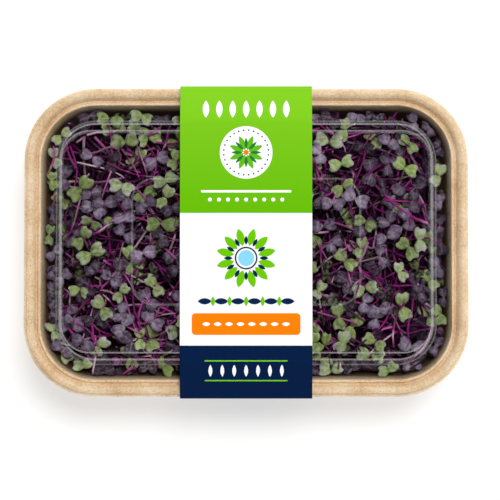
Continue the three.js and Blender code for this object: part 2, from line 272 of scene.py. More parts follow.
def new_material(name, colour, roughness):
    material = bpy.data.materials.new(name)
    material.use_nodes = True
    shader = shader_of(material)
    shader.inputs["Base Color"].default_value = (*colour, 1)
    shader.inputs["Roughness"].default_value = roughness
    return material


def shader_of(material):
    return material.node_tree.nodes["Principled BSDF"]


def paint(material, colour):
    material.node_tree.links.new(colour, shader_of(material).inputs["Base Color"])


def from_hex(code):
    parts = [int(code[i:i + 2], 16) / 255 for i in (0, 2, 4)]
    return tuple(p / 12.92 if p <= 0.04045 else ((p + 0.055) / 1.055) ** 2.4 for p in parts)


def object_axes(tree):
    """The object's own X, Y and Z, in millimetres."""
    coordinates = tree.nodes.new("ShaderNodeTexCoord")
    split = tree.nodes.new("ShaderNodeSeparateXYZ")
    tree.links.new(coordinates.outputs["Object"], split.inputs[0])
    return [Field(tree, split.outputs[axis]) * (1 / MM) for axis in "XYZ"]


def noise(tree, size, detail=4.0, roughness=0.6, stretch=None):
    """Noise from 0 to 1 whose lumps are about a size in millimetres."""
    coordinates = tree.nodes.new("ShaderNodeTexCoord")
    node = tree.nodes.new("ShaderNodeTexNoise")
    node.inputs["Scale"].default_value = 1 / (size * MM)
    node.inputs["Detail"].default_value = detail
    node.inputs["Roughness"].default_value = roughness
    if stretch:
        mapping = tree.nodes.new("ShaderNodeMapping")
        mapping.inputs["Scale"].default_value = stretch
        tree.links.new(coordinates.outputs["Object"], mapping.inputs["Vector"])
        tree.links.new(mapping.outputs["Vector"], node.inputs["Vector"])
    else:
        tree.links.new(coordinates.outputs["Object"], node.inputs["Vector"])
    return Field(tree, node.outputs["Fac"])


def mix(tree, share, first, second):
    """A colour between two, each a colour or a socket."""
    node = tree.nodes.new("ShaderNodeMix")
    node.data_type = "RGBA"
    if isinstance(share, Field):
        tree.links.new(share.socket, node.inputs[0])
    else:
        node.inputs[0].default_value = share
    for place, colour in ((6, first), (7, second)):
        if isinstance(colour, tuple):
            node.inputs[place].default_value = (*colour, 1)
        else:
            tree.links.new(colour, node.inputs[place])
    return node.outputs[2]


def ramp(tree, field, stops):
    node = tree.nodes.new("ShaderNodeValToRGB")
    elements = node.color_ramp.elements
    while len(elements) < len(stops):
        elements.new(0.5)
    for element, (position, colour) in zip(elements, stops):
        element.position = position
        element.color = (*colour, 1)
    tree.links.new(field.socket, node.inputs["Fac"])
    return node.outputs["Color"]


def add_bump(material, height, depth):
    """Relief of a depth in millimetres where the height goes from 0 to 1."""
    tree = material.node_tree
    node = tree.nodes.new("ShaderNodeBump")
    node.inputs["Strength"].default_value = 1.0
    node.inputs["Distance"].default_value = depth * MM
    tree.links.new(height.socket, node.inputs["Height"])
    tree.links.new(node.outputs["Normal"], shader_of(material).inputs["Normal"])


def moulded_fibre(name, painted_shade_strength):
    """Kraft pulp with its fibres and specks, with painted shade of a given strength that darkens it further
    down.
    """
    material = new_material(name, from_hex("d2ad82"), 0.88)
    tree = material.node_tree
    clouds = noise(tree, 14, 3)
    fibres = noise(tree, 1.1, 6, 0.75)
    specks = noise(tree, 0.55, 2, 0.5)
    flecks = noise(tree, 1.1, 1, 0.5, (0.5, 1.3, 1.0))
    base = ramp(tree, clouds * 0.35 + fibres * 0.4 + specks * 0.25, [
        (0.38, from_hex("d2ab7d")),
        (0.5, from_hex("f3d4ad")),
        (0.62, from_hex("fdebd0")),
    ])
    dark = mix(tree, specks.above(0.63) * 0.55, base, from_hex("a07a50"))
    pale = mix(tree, flecks.above(0.72) * 0.4, dark, from_hex("f3dcbc"))
    # Painted shade: darker towards dark brown with depth below the ledge, up to the given strength.
    depth = object_axes(tree)[2] * -1 + (RIM_TOP + WALL_TOP_HEIGHT)
    painted_shade = (depth * 0.13).either(0).both(1) * painted_shade_strength
    shaded_fibre_colour = mix(tree, painted_shade, pale, from_hex("452809"))
    paint(material, shaded_fibre_colour)
    shader_of(material).inputs["Specular IOR Level"].default_value = 0.3
    add_bump(material, fibres * 0.5 + specks * 0.5, 0.4)
    return material


def clear_sheet(name, haze_and_painted_highlight):
    """Clear plastic: what lies behind shows through, and the sheet adds its gloss and a little milky white,
    which is haze, and on the bends painted highlight.
    """
    material = bpy.data.materials.new(name)
    material.use_nodes = True
    tree = material.node_tree
    tree.nodes.remove(tree.nodes["Principled BSDF"])
    through = tree.nodes.new("ShaderNodeBsdfTransparent")
    through.inputs["Color"].default_value = (0.975, 0.98, 0.98, 1)
    gloss = tree.nodes.new("ShaderNodeBsdfGlossy")
    gloss.inputs["Roughness"].default_value = 0.1
    gloss.inputs["Color"].default_value = (1, 1, 1, 1)
    fresnel = tree.nodes.new("ShaderNodeFresnel")
    fresnel.inputs["IOR"].default_value = 1.4
    shine = Field(tree, fresnel.outputs[0]).both(0.07)
    milk = tree.nodes.new("ShaderNodeBsdfDiffuse")
    # Milky white from a diffuse layer: haze, and painted highlight on the bends' sheets.
    milky = noise(tree, 3.0, 3) * (haze_and_painted_highlight * 0.4) + haze_and_painted_highlight * 0.8
    glossy = tree.nodes.new("ShaderNodeMixShader")
    tree.links.new(shine.socket, glossy.inputs[0])
    tree.links.new(through.outputs[0], glossy.inputs[1])
    tree.links.new(gloss.outputs[0], glossy.inputs[2])
    blend = tree.nodes.new("ShaderNodeMixShader")
    tree.links.new(milky.socket, blend.inputs[0])
    tree.links.new(glossy.outputs[0], blend.inputs[1])
    tree.links.new(milk.outputs[0], blend.inputs[2])
    tree.links.new(blend.outputs[0], tree.nodes["Material Output"].inputs["Surface"])
    return material


# Shapes that are drawn in by insets from a round-cornered sheet

def rounded(corners):
    """A profile of (inset, height, radius) corners as points, with an arc at each corner."""
    points = [Vector(corners[0][:2])]
    for before, here, after in zip(corners, corners[1:], corners[2:]):
        corner = Vector(here[:2])
        way_in = (corner - Vector(before[:2])).normalized()
        way_out = (Vector(after[:2]) - corner).normalized()
        turn = way_in.angle_signed(way_out)
        radius = here[2]
        if radius <= 0 or abs(turn) < 0.01:
            points.append(corner)
            continue
        reach = radius * math.tan(abs(turn) / 2)
        start, end = corner - way_in * reach, corner + way_out * reach
        steps = max(2, round(abs(turn) / math.radians(18)))
        bend = corner + (way_out - way_in).normalized() * (radius / math.cos(turn / 2))
        first, last = start - bend, end - bend
        for step in range(steps + 1):
            points.append(bend + first.slerp(last, step / steps).normalized() * radius)
    points.append(Vector(corners[-1][:2]))
    return points


def offset_profile(corners, distance):
    """A profile moved square to itself, upwards where it runs inwards, with its corners kept round."""
    moved = []
    for index, (inset, height, radius) in enumerate(corners):
        here = Vector((inset, height))
        normals = []
        for a, b in ((index - 1, index), (index, index + 1)):
            if a >= 0 and b < len(corners):
                way = (Vector(corners[b][:2]) - Vector(corners[a][:2])).normalized()
                normals.append(Vector((-way.y, way.x)))
        middle = sum(normals, Vector((0, 0))) / len(normals)
        place = here + middle * (distance / middle.length_squared)
        turns_up = len(normals) == 2 and normals[0].cross(normals[1]) > 0
        kept = max(radius - distance if turns_up else radius + distance, 0.12) if radius > 0 else 0
        moved.append((place.x, place.y, kept))
    return moved


def active_mesh():
    return bmesh.from_edit_mesh(bpy.context.object.data)


def inset_sheet(name, corners):
    """A round-cornered sheet, drawn in step by step along a profile that starts at its outer edge."""
    points = rounded(corners)
    first = points[0]
    deselect_all()
    bpy.ops.mesh.primitive_plane_add(size=1, location=(0, 0, (RIM_TOP + first.y) * MM))
    sheet = bpy.context.object
    sheet.name = name
    sheet.scale = ((TRAY_LENGTH - 2 * first.x) * MM, (TRAY_WIDTH - 2 * first.x) * MM, 1)
    place_in_mesh(sheet)
    bpy.ops.object.mode_set(mode="EDIT")
    bpy.ops.mesh.select_all(action="SELECT")
    radius = (CORNER_RADIUS - first.x) * MM
    bpy.ops.mesh.bevel(offset=radius, segments=CORNER_SEGMENTS, profile=0.5, affect="VERTICES")
    for here, following in zip(points, points[1:]):
        step = following - here
        inwards = max(step.x, 1e-5)
        bpy.ops.mesh.inset(thickness=inwards * MM, depth=step.y * MM, use_even_offset=True)
    return sheet


def close_shell(upper, lower, name):
    """Two sheets as one body, bridged along their outer edges."""
    bpy.ops.object.mode_set(mode="OBJECT")
    select_only(upper, lower)
    bpy.ops.object.join()
    shell = bpy.context.object
    shell.name = name
    bpy.ops.object.mode_set(mode="EDIT")
    bpy.ops.mesh.select_mode(type="EDGE")
    bpy.ops.mesh.select_all(action="DESELECT")
    mesh = active_mesh()
    for edge in mesh.edges:
        if edge.is_boundary:
            edge.select_set(True)
    bmesh.update_edit_mesh(shell.data)
    bpy.ops.mesh.bridge_edge_loops()
    bpy.ops.mesh.select_mode(type="VERT")
    bpy.ops.mesh.select_all(action="SELECT")
    bpy.ops.mesh.normals_make_consistent(inside=False)
    bpy.ops.object.mode_set(mode="OBJECT")
    return shell


def finish_faces(item, angle=40):
    """Smooth shading that leaves the large flat faces flat up to their edges."""
    select_only(item)
    bpy.ops.object.shade_smooth_by_angle(angle=math.radians(angle))
    apply_modifier(item, "WEIGHTED_NORMAL", mode="FACE_AREA", weight=100, keep_sharp=True)


def dress(piece, node):
    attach(piece, "root")
    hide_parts(node)


# Tray

def tray_profile():
    foot = WALL_FOOT_INSET + WALL_RUN * FLOOR_FILLET
    return [
        (0.0, -2.1, 0),
        (0.8, -1.9, 0.3),
        (1.2, -0.35, 0.5),
        (2.5, 0.0, 1.2),
        (3.7, -0.75, 1.0),
        (4.75, GROOVE_HEIGHT, 0.3),
        (5.1, GROOVE_HEIGHT, 0.15),
        (5.6, WALL_TOP_HEIGHT + 0.05, 0.2),
        (WALL_TOP_INSET, WALL_TOP_HEIGHT + 0.15, 0.25),
        (foot, FLOOR_HEIGHT, 5.2),
        (24.0, FLOOR_HEIGHT, 0),
    ]


def underside_profile():
    """The underside follows the bead, and runs flat below the groove and the lip."""
    bead = [corner for corner in tray_profile() if corner[0] < 4.9]
    wall = [corner for corner in tray_profile() if corner[0] > WALL_TOP_INSET]
    turn = WALL_TOP_INSET + WALL_RUN * (WALL_TOP_HEIGHT - GROOVE_HEIGHT)
    return offset_profile([*bead, (turn, GROOVE_HEIGHT, 0.6), *wall], -FIBRE)


def build_tray(plain_fibre, painted_shade):
    upper = inset_sheet("tray_inside", tray_profile())
    bpy.ops.object.mode_set(mode="OBJECT")
    lower = inset_sheet("tray_outside", underside_profile())
    tray = close_shell(upper, lower, "tray_shell")
    tray.data.materials.append(plain_fibre)
    tray.data.materials.append(painted_shade)
    # The inside faces that look up, in from the wall's top, take the fibre with painted shade.
    for face in tray.data.polygons:
        inset = distance_inside(face.center.x / MM, face.center.y / MM, 0)
        looks_up = face.normal.z > 0.02
        if inset > PAINTED_SHADE_FROM_INSET and looks_up:
            face.material_index = 1
    finish_faces(tray)
    dress(tray, "tray")


# Lid

def lid_profile():
    return [
        (0.6, -1.6, 0),
        (0.75, -0.2, 0.25),
        (1.4, GAP, 0.4),
        (3.9, GAP, 0.5),
        (5.1, -1.3, 0.4),
        (6.9, -1.3, 0.5),
        (7.6, FIELD_HEIGHT, 0.6),
        (12.7, FIELD_HEIGHT, 0.45),
        (14.3, RIDGE_HEIGHT, 0.45),
        (RIDGE_INNER_INSET, RIDGE_HEIGHT, 0.4),
        (17.8, PLATFORM_HEIGHT, 0.35),
        (19.0, PLATFORM_HEIGHT, 0),
    ]


def in_quarter(place, side_x, side_y):
    return place.x * side_x > 0 and place.y * side_y > 0


def draw_in_panel(inner_inset):
    """The selected sheet's middle drawn in to the panel's outline, then stepped up to the panel."""
    shrink_x = TRAY_LENGTH / 2 - inner_inset - PANEL_HALF_LENGTH - PANEL_EDGE
    shrink_y = TRAY_WIDTH / 2 - inner_inset - PANEL_HALF_WIDTH - PANEL_EDGE
    bpy.ops.mesh.extrude_region_move(TRANSFORM_OT_translate={"value": (0, 0, 0)})
    mesh = active_mesh()
    ring = [vertex.index for vertex in mesh.verts if vertex.select]
    for side_x in (-1, 1):
        for side_y in (-1, 1):
            mesh = active_mesh()
            mesh.verts.ensure_lookup_table()
            corner = [index for index in ring if in_quarter(mesh.verts[index].co, side_x, side_y)]
            bpy.ops.mesh.select_all(action="DESELECT")
            for index in corner:
                mesh.verts[index].select_set(True)
            mesh.select_flush_mode()
            bmesh.update_edit_mesh(bpy.context.object.data)
            move = (-side_x * shrink_x * MM, -side_y * shrink_y * MM, 0)
            bpy.ops.transform.translate(value=move)
    mesh = active_mesh()
    mesh.verts.ensure_lookup_table()
    mesh.faces.ensure_lookup_table()
    bpy.ops.mesh.select_all(action="DESELECT")
    chosen = set(ring)
    for face in mesh.faces:
        if {vertex.index for vertex in face.verts} == chosen:
            face.select_set(True)
    bmesh.update_edit_mesh(bpy.context.object.data)
    for run, rise in PANEL_STEPS:
        bpy.ops.mesh.inset(thickness=run * MM, depth=rise * MM, use_even_offset=True)


def narrow_ridge_at_ends(item):
    """The ridge's inner side moved outwards along X, which leaves less of a crest at the lid's two ends."""
    for vertex in item.data.vertices:
        x, y, z = vertex.co / MM
        inset = distance_inside(x, y, 0)
        if RIDGE_INNER_SIDE[0] < inset < RIDGE_INNER_SIDE[1] and z > RIM_TOP:
            vertex.co.x += math.copysign(NARROWER_AT_ENDS * MM, x)


def mark_bends(item):
    """The hazier materials on the narrow faces that run round the ridge's bends and the panel's, whose
    whiter haze is painted highlight along the folds.
    """
    for face in item.data.polygons:
        corners = [item.data.vertices[index].co for index in face.vertices]
        sides = [(a - b).length for a, b in zip(corners, corners[1:] + corners[:1])]
        inset = distance_inside(face.center.x / MM, face.center.y / MM, 0)
        height = face.center.z / MM - RIM_TOP
        at_panel = inset > PANEL_FROM_INSET
        on_line = height < FIELD_HEIGHT + NEAR_FIELD or height > RIDGE_HEIGHT - NEAR_CREST or at_panel
        narrow = len(corners) == 4 and min(sides) < BEND_WIDTH * MM
        if inset > BENDS_FROM_INSET and on_line and narrow:
            face.material_index = PANEL_SHEET if at_panel else BEND_SHEET
        elif RIDGE_OUTER_WALL[0] < inset < RIDGE_OUTER_WALL[1] and not on_line:
            face.material_index = WALL_SHEET


def build_lid(*materials):
    sheets = []
    for name, distance in (("lid_under", 0.0), ("lid_over", LID_SHEET)):
        profile = lid_profile() if distance == 0 else offset_profile(lid_profile(), distance)
        sheets.append(inset_sheet(name, profile))
        draw_in_panel(profile[-1][0])
        bpy.ops.object.mode_set(mode="OBJECT")
    lid = close_shell(sheets[1], sheets[0], "lid_sheet")
    for material in materials:
        lid.data.materials.append(material)
    mark_bends(lid)
    narrow_ridge_at_ends(lid)
    finish_faces(lid, 60)
    dress(lid, "lid")


# Sleeve

def sleeve_path():
    """The sleeve's outside as (y, z, radius) corners, from its inner flap round the pack to its outer."""
    shoulder = 46.8
    fold = RIM_TOP + 1.25
    rim_low = RIM_TOP - 3.5
    return [
        (-LAP, CARD + 0.02, 0),
        (LAP, CARD + 0.02, 6),
        (3 * LAP, 0, 6),
        (SLEEVE_FOOT, 0, 1.4),
        (SLEEVE_SIDE, rim_low, 3),
        (SLEEVE_SIDE, fold, 1),
        (shoulder, SLEEVE_TOP, 7),
        (-shoulder, SLEEVE_TOP, 7),
        (-SLEEVE_SIDE, fold, 1),
        (-SLEEVE_SIDE, rim_low, 3),
        (-SLEEVE_FOOT, 0, 1.4),
        (LAP, 0, 0),
    ]


def build_sleeve(print_material, bare_material):
    points = rounded(sleeve_path())
    start, following = points[0], points[1]
    middle = (start + following) / 2
    deselect_all()
    bpy.ops.mesh.primitive_plane_add(size=1, location=(0, middle.x * MM, middle.y * MM))
    strip = bpy.context.object
    strip.name = "sleeve_card"
    strip.scale = (SLEEVE_WIDTH * MM, (following - start).x * MM, 1)
    place_in_mesh(strip)
    bpy.ops.object.mode_set(mode="EDIT")
    bpy.ops.mesh.select_all(action="DESELECT")
    mesh = active_mesh()
    for edge in mesh.edges:
        edge.select_set(all(vertex.co.y > middle.x * MM for vertex in edge.verts))
    bmesh.update_edit_mesh(strip.data)
    for here, there in zip(points[1:], points[2:]):
        step = (there - here) * MM
        bpy.ops.mesh.extrude_region_move(TRANSFORM_OT_translate={"value": (0, step.x, step.y)})
    bpy.ops.mesh.select_all(action="SELECT")
    bpy.ops.mesh.normals_make_consistent(inside=False)
    bpy.ops.object.mode_set(mode="OBJECT")
    highest = max(strip.data.polygons, key=lambda face: face.center.z)
    if highest.normal.z < 0:
        strip.data.flip_normals()
    strip.data.materials.append(print_material)
    strip.data.materials.append(bare_material)
    apply_modifier(strip, "SOLIDIFY", thickness=CARD * MM, offset=-1, use_even_offset=True,
                   material_offset=1, material_offset_rim=1)
    finish_faces(strip, 50)
    dress(strip, "sleeve")


def disc(x, y, radius):
    return (x * x + y * y).below(radius * radius)


def bar(x, y, half_width, half_height, radius):
    """A rectangle with round corners."""
    dx = abs(x) - (half_width - radius)
    dy = abs(y) - (half_height - radius)
    out_x, out_y = dx.either(0), dy.either(0)
    return (out_x * out_x + out_y * out_y).below(radius * radius)


def leaf_shape(x, y, half_length, half_width):
    """A pointed oval along Y: where two equal circles overlap."""
    radius = (half_length ** 2 + half_width ** 2) / (2 * half_width)
    side = abs(x) + (radius - half_width)
    return (side * side + y * y).below(radius * radius)


def row_of(x, pitch, count):
    """X folded into a row of equal cells, and where the row is."""
    folded = (x + pitch * (count % 2) / 2).math("FLOORED_MODULO", pitch) - pitch / 2
    return folded, abs(x).below(pitch * count / 2)


def ring_of(x, y, count, radius, turn=0.0):
    """X and Y folded into a ring of equal cells: across and along the spoke, from a radius."""
    sector = 2 * math.pi / count
    angle = (y.math("ARCTAN2", x) + turn).math("FLOORED_MODULO", sector) - sector / 2
    reach = (x * x + y * y).math("SQRT")
    return reach * angle.math("SINE"), reach * angle.math("COSINE") - radius


def green_block(lay, x, y):
    """A row of ovals, a rosette in a white disc with a ring of dots, a rule and a row of dots."""
    along, row = row_of(x, 5.2, 7)
    lay(leaf_shape(along, y - OVALS_AT, 3.4, 1.25).both(row), "ffffff")
    rosette = y - ROSETTE_AT
    lay(disc(x, rosette, 10.2), "ffffff")
    lay(disc(*ring_of(x, rosette, 28, 8.7), 0.34), "0d3a5c")
    across, out = ring_of(x, rosette, 8, 3.9)
    lay(leaf_shape(across, out, 3.0, 1.05), "5fb513")
    across, out = ring_of(x, rosette, 8, 3.6, math.pi / 8)
    lay(leaf_shape(across, out, 2.2, 0.6), "1f7a35")
    lay(disc(x, rosette, 1.0), "f07c00")
    lay(bar(x, y - RULE_AT, 17.5, 0.45, 0.4), "ffffff")
    along, row = row_of(x, 3.5, 9)
    lay(disc(along, y - DOTS_AT, 0.75).both(row), "ffffff")


def white_block(lay, x, y):
    """A flower, a chain of ovals that lie and stand by turns, and a bar with a row of ovals."""
    flower = y - FLOWER_AT
    across, out = ring_of(x, flower, 12, 8.3)
    lay(leaf_shape(across, out, 3.4, 1.5), "6abf00")
    across, out = ring_of(x, flower, 12, 6.9, math.pi / 12)
    lay(leaf_shape(across, out, 1.7, 0.7), "02204a")
    for radius, ink in ((4.4, "02204a"), (3.8, "f2f2f2"), (3.1, "85d0f0")):
        lay(disc(x, flower, radius), ink)
    chain = y - CHAIN_AT
    along, row = row_of(x, 6.4, 6)
    lay(leaf_shape(chain, along, 2.7, 1.2).both(row), "02204a")
    along, row = row_of(x, 6.4, 5)
    lay(leaf_shape(along, chain, 1.9, 0.8).both(row), "6abf00")
    lay(bar(x, y - BAR_AT, 21.0, 4.2, 1.5), "f07c00")
    along, row = row_of(x, 4.4, 8)
    lay(leaf_shape(y - BAR_AT, along, 1.5, 0.7).both(row), "ffffff")


def navy_block(lay, x, y):
    """A row of ovals between two rules."""
    along, row = row_of(x, 4.6, 7)
    lay(leaf_shape(along, y - NAVY_OVALS_AT, 2.3, 0.75).both(row), "f4f6f8")
    for place in NAVY_RULES_AT:
        lay(bar(x, y - place, 16.0, 0.25, 0.2), "6abf00")


def printed_card():
    """Blocks of colour with plain ornaments on the top, and green or navy down the two sides."""
    material = new_material("printed sleeve card", (1, 1, 1), 0.42)
    tree = material.node_tree
    x, y, z = object_axes(tree)
    upper_side = z.above(RIM_TOP - 1)
    lower_side = z.below(RIM_TOP - 1)
    green = y.above(GREEN_FROM).both(upper_side).either(y.above(LAP).both(lower_side))
    navy = y.below(NAVY_FROM).both(upper_side).either(y.below(LAP).both(lower_side))
    grass = ramp(tree, (y - GREEN_FROM) * 0.02, [(0.0, from_hex("62b400")), (0.9, from_hex("7cc41e"))])
    colour = mix(tree, green, from_hex("f2f2f2"), grass)
    colour = mix(tree, navy, colour, from_hex("001a40"))

    def lay(mask, ink):
        nonlocal colour
        colour = mix(tree, mask.both(upper_side), colour, from_hex(ink))

    green_block(lay, x, y)
    white_block(lay, x, y)
    navy_block(lay, x, y)
    worn = mix(tree, noise(tree, 0.35, 3) * 0.01, colour, (0.5, 0.5, 0.5))
    paint(material, worn)
    shader_of(material).inputs["Specular IOR Level"].default_value = 0.04
    add_bump(material, noise(tree, 0.5, 4), 0.02)
    return material


def bare_card():
    material = new_material("bare white card", from_hex("e9e6df"), 0.8)
    tree = material.node_tree
    tone = ramp(tree, noise(tree, 0.9, 5), [(0.3, from_hex("d9d4c9")), (0.7, from_hex("f2f0ea"))])
    paint(material, tone)
    return material


# Microgreens: the plan of the CAD's sprouts, drawn again from the same seed so that each keeps its place

SEED = 4169
CLUMP_COLUMNS = 7
CLUMP_ROWS = 4
COLUMN_PITCH = 20.2
ROW_PITCH = 22.0
SPROUTS_IN_CLUMP = 6
LYING_IN_CLUMP = 2
HEAD_SPREAD = 1.07
HEAD_BELOW_LID = 2.2
CORE_TOP = 23.0
CORE_RADIUS = 10.3
ROOT_DEPTH = 5.0
ROOT_SPREAD = 0.45
STEM_RADIUS = 0.75
LOBE_LENGTH = 6.0
LOBE_HALF_WIDTH = 3.3
PETIOLE = 1.3
TILT = 0.7
FOLD_RANGE = (-0.05, 0.4)
SIZE_RANGE = (0.86, 1.12)
CLEARANCE = 2.4
WALL_ROOM = 1.0
LID_ROOM = 0.9
TRIES = 200
LYING = {"nearest": 8, "furthest": 18, "drop": 3.5, "low": 0.7, "high": 5, "sideways": 1.2}
UPRIGHT = {"nearest": 0, "furthest": 10.5, "drop": 8, "low": 0.5, "high": 7, "sideways": 0}
LOBE_EDGE = ((0.0, 0.16), (0.2, 0.86), (0.66, 1.0), (1.0, 0.5))
NOTCH = 0.77
MIDDLE = 0.42
CUP = 0.08
UPWARDS = np.array((0.0, 0.0, 1.0))


def repeatable_draws(seed):
    """The generator that the CAD's plan uses."""
    state = seed
    while True:
        state = (state * 1664525 + 1013904223) % 4294967296
        yield state / 4294967296


def distance_inside(x, y, inset):
    """How far points lie inside the tray's outline drawn in by an inset."""
    radius = CORNER_RADIUS - inset
    dx = np.abs(x) - (TRAY_LENGTH / 2 - inset - radius)
    dy = np.abs(y) - (TRAY_WIDTH / 2 - inset - radius)
    outside = np.hypot(np.maximum(dx, 0), np.maximum(dy, 0))
    return radius - outside - np.minimum(np.maximum(dx, dy), 0)


def room_inside(points):
    """How far points lie inside the tray's wall, in plan at their heights."""
    x, y, z = np.transpose(points)
    height = z - RIM_TOP
    in_fillet = np.maximum(WALL_FOOT_HEIGHT - height, 0)
    on_wall = np.maximum(WALL_TOP_HEIGHT - np.maximum(height, WALL_FOOT_HEIGHT), 0)
    return distance_inside(x, y, WALL_TOP_INSET + WALL_RUN * on_wall + in_fillet)


def ceiling_over(x, y):
    """The lid's underside over a point: low round the edge and higher within the ridge."""
    within = distance_inside(x, y, RIDGE_TOP_INSET + 0.6)
    return RIM_TOP + np.where(within > 0, PLATFORM_HEIGHT, FIELD_HEIGHT)


def unit(vector):
    return vector / math.sqrt(vector @ vector)


def between(limits, share):
    return limits[0] + (limits[1] - limits[0]) * share


def sprout_at(head, up, turn, fold, size, stem):
    across = unit(np.cross(up, (math.cos(turn), math.sin(turn), 0)))
    return {
        "head": head,
        "up": up,
        "across": across,
        "along": np.cross(across, up),
        "fold": fold,
        "size": size,
        "stem": stem,
        "cup": CUP,
        "petiole": PETIOLE,
        "sweep": 0.0,
        "thickness": STEM_RADIUS,
    }


def stem_points(stem, shares):
    t = np.asarray(shares)[:, None]
    s = 1 - t
    return s ** 3 * stem[0] + 3 * s * s * t * stem[1] + 3 * s * t * t * stem[2] + t ** 3 * stem[3]


def lobe_axes(sprout, side):
    """Along a cotyledon and across it, where both may sweep round towards one side of the stem."""
    outwards = side * math.cos(sprout["fold"]) * sprout["along"] + math.sin(sprout["fold"]) * sprout["up"]
    turn, lean = math.cos(sprout["sweep"]), math.sin(sprout["sweep"])
    return outwards * turn + sprout["across"] * lean, sprout["across"] * turn - outwards * lean


def lobe_points(sprout, side, spots):
    """Points of a cotyledon from their (share of length, share of half width)."""
    spots = np.asarray(spots)
    along_axis, across_axis = lobe_axes(sprout, side)
    along = (sprout["petiole"] + spots[:, :1] * LOBE_LENGTH) * sprout["size"]
    across = spots[:, 1:] * LOBE_HALF_WIDTH * sprout["size"]
    lift = sprout["cup"] * across * across
    return sprout["head"] + along_axis * along + across_axis * across + sprout["up"] * lift


MARKED_SPOTS = [(share, side * edge) for side in (-1, 1) for share, edge in LOBE_EDGE]
MARKED_SPOTS += [(0.45, -0.48), (0.45, 0.48), (0, 0), (MIDDLE, 0), (NOTCH, 0)]


def markers_of(sprout):
    """Points spread over a sprout that stand for it where it must keep clear."""
    stem = stem_points(sprout["stem"], np.arange(1, 13) / 12)
    lobes = [lobe_points(sprout, side, MARKED_SPOTS) for side in (1, -1)]
    return np.concatenate([stem, *lobes])


def draw_sprout(draws, clump, posture):
    d = [next(draws) for _ in range(8)]
    bearing = 2 * math.pi * d[0]
    outwards = np.array((math.cos(bearing), math.sin(bearing), 0))
    reach = between((posture["nearest"], posture["furthest"]), math.sqrt(d[1]))
    x = clump["x"] * HEAD_SPREAD + outwards[0] * reach
    y = clump["y"] * HEAD_SPREAD + outwards[1] * reach
    z = float(ceiling_over(x, y)) - HEAD_BELOW_LID - posture["drop"] * d[2]
    up = unit(np.array((TILT * (d[4] - 0.5), TILT * (d[5] - 0.5), 1)))
    head = np.array((x, y, z))
    root = np.array((clump["x"], clump["y"], CORE_TOP - ROOT_DEPTH)) + outwards * ROOT_SPREAD * CORE_RADIUS
    low_handle = root + UPWARDS * posture["low"] * (z - root[2])
    high_handle = head - up * posture["high"] - outwards * posture["sideways"]
    stem = np.array((root, low_handle, high_handle, head))
    turn = 2 * math.pi * d[3]
    return sprout_at(head, up, turn, between(FOLD_RANGE, d[6]), between(SIZE_RANGE, d[7]), stem)


def keeps_inside(markers, wall_room, lid_room):
    over_core = markers[markers[:, 2] > CORE_TOP]
    room = room_inside(over_core)
    ceiling = ceiling_over(markers[:, 0], markers[:, 1])
    return not ((room < wall_room).any() or (markers[:, 2] > ceiling - lid_room).any())


def stays_in_tray(points, wall_room, lid_room):
    """Whether points keep off the wall and the floor at every height, and below the lid."""
    ceiling = ceiling_over(points[:, 0], points[:, 1])
    low = RIM_TOP + FLOOR_HEIGHT + wall_room
    in_plan = (room_inside(points) > wall_room).all()
    return in_plan and (points[:, 2] > low).all() and (points[:, 2] < ceiling - lid_room).all()


def keeps_clear(markers, others, limit):
    if not len(others) or not len(markers):
        return True
    low, high = markers.min(axis=0) - limit, markers.max(axis=0) + limit
    near = others[((others > low) & (others < high)).all(axis=1)]
    if not len(near):
        return True
    gaps = ((markers[:, None] - near[None]) ** 2).sum(axis=2)
    return not (gaps < limit * limit).any()


def plan_clumps():
    draws = repeatable_draws(SEED)
    clumps = []
    for row in range(CLUMP_ROWS):
        for column in range(CLUMP_COLUMNS):
            clumps.append({
                "x": (column - (CLUMP_COLUMNS - 1) / 2) * COLUMN_PITCH,
                "y": (row - (CLUMP_ROWS - 1) / 2) * ROW_PITCH,
                "green": (column + 2 * row) % 5 < 2,
                "sprouts": [],
                "fillers": [],
                "loose": [],
                "markers": np.zeros((0, 3)),
            })
    for turn in range(SPROUTS_IN_CLUMP):
        for clump in clumps:
            rest = np.concatenate([other["markers"] for other in clumps if other is not clump])
            for _ in range(TRIES):
                sprout = draw_sprout(draws, clump, LYING if turn < LYING_IN_CLUMP else UPRIGHT)
                markers = markers_of(sprout)
                over_core = markers[markers[:, 2] > CORE_TOP + 2]
                if (keeps_inside(markers, WALL_ROOM, LID_ROOM) and keeps_clear(markers, rest, CLEARANCE)
                        and keeps_clear(over_core, clump["markers"], CLEARANCE)):
                    clump["sprouts"].append(sprout)
                    clump["markers"] = np.concatenate([clump["markers"], markers])
                    break
    return clumps


# Microgreens: many finer sprouts and loose stems fill in round the planned ones

# Layers of fillers, each with how far its heads lie below the lid, and a light that paints shade on the
# deeper layers. A layer with an edge keeps to the wall.
FILLERS = (
    {"count": 110, "drop": (0.9, 3.0), "spacing": 3.1, "size": (0.58, 0.76), "light": 1.0,
     "edge": (8.9, 11.2)},
    {"count": 60, "drop": (3.5, 8.0), "spacing": 3.0, "size": (0.58, 0.74), "light": 0.35,
     "edge": (10.0, 12.8)},
    {"count": 92, "drop": (1.6, 6.0), "spacing": 3.9, "size": (0.66, 0.84), "light": 1.0},
    {"count": 60, "drop": (5.0, 11.0), "spacing": 3.2, "size": (0.55, 0.8), "light": 0.26},
    {"count": 24, "drop": (10.0, 16.0), "spacing": 3.0, "size": (0.6, 0.85), "light": 0.3},
)
FILLER_AREA = (81, 54)
FILLER_TRIES = 60
FILLER_TILT = 0.34
FILLER_LEAN = (1.5, 13)
FILLER_DEPTH = (8, 15)
FILLER_FOLD = (-0.15, 0.55)
FILLER_STEM = (0.34, 0.6)
LEAF_SHARE = 0.84
STEM_SHARE = 0.62
YOUNG_FOLD = 0.9
YOUNG_FOLD_MOST = 1.35
YOUNG_SIZE = 0.75
YOUNG_SHARE = 0.08
PURPLE_IN_GREEN_CLUMP = 0.25
PURPLE_IN_PURPLE_CLUMP = 0.7
PURPLE_FILLERS = 0.66
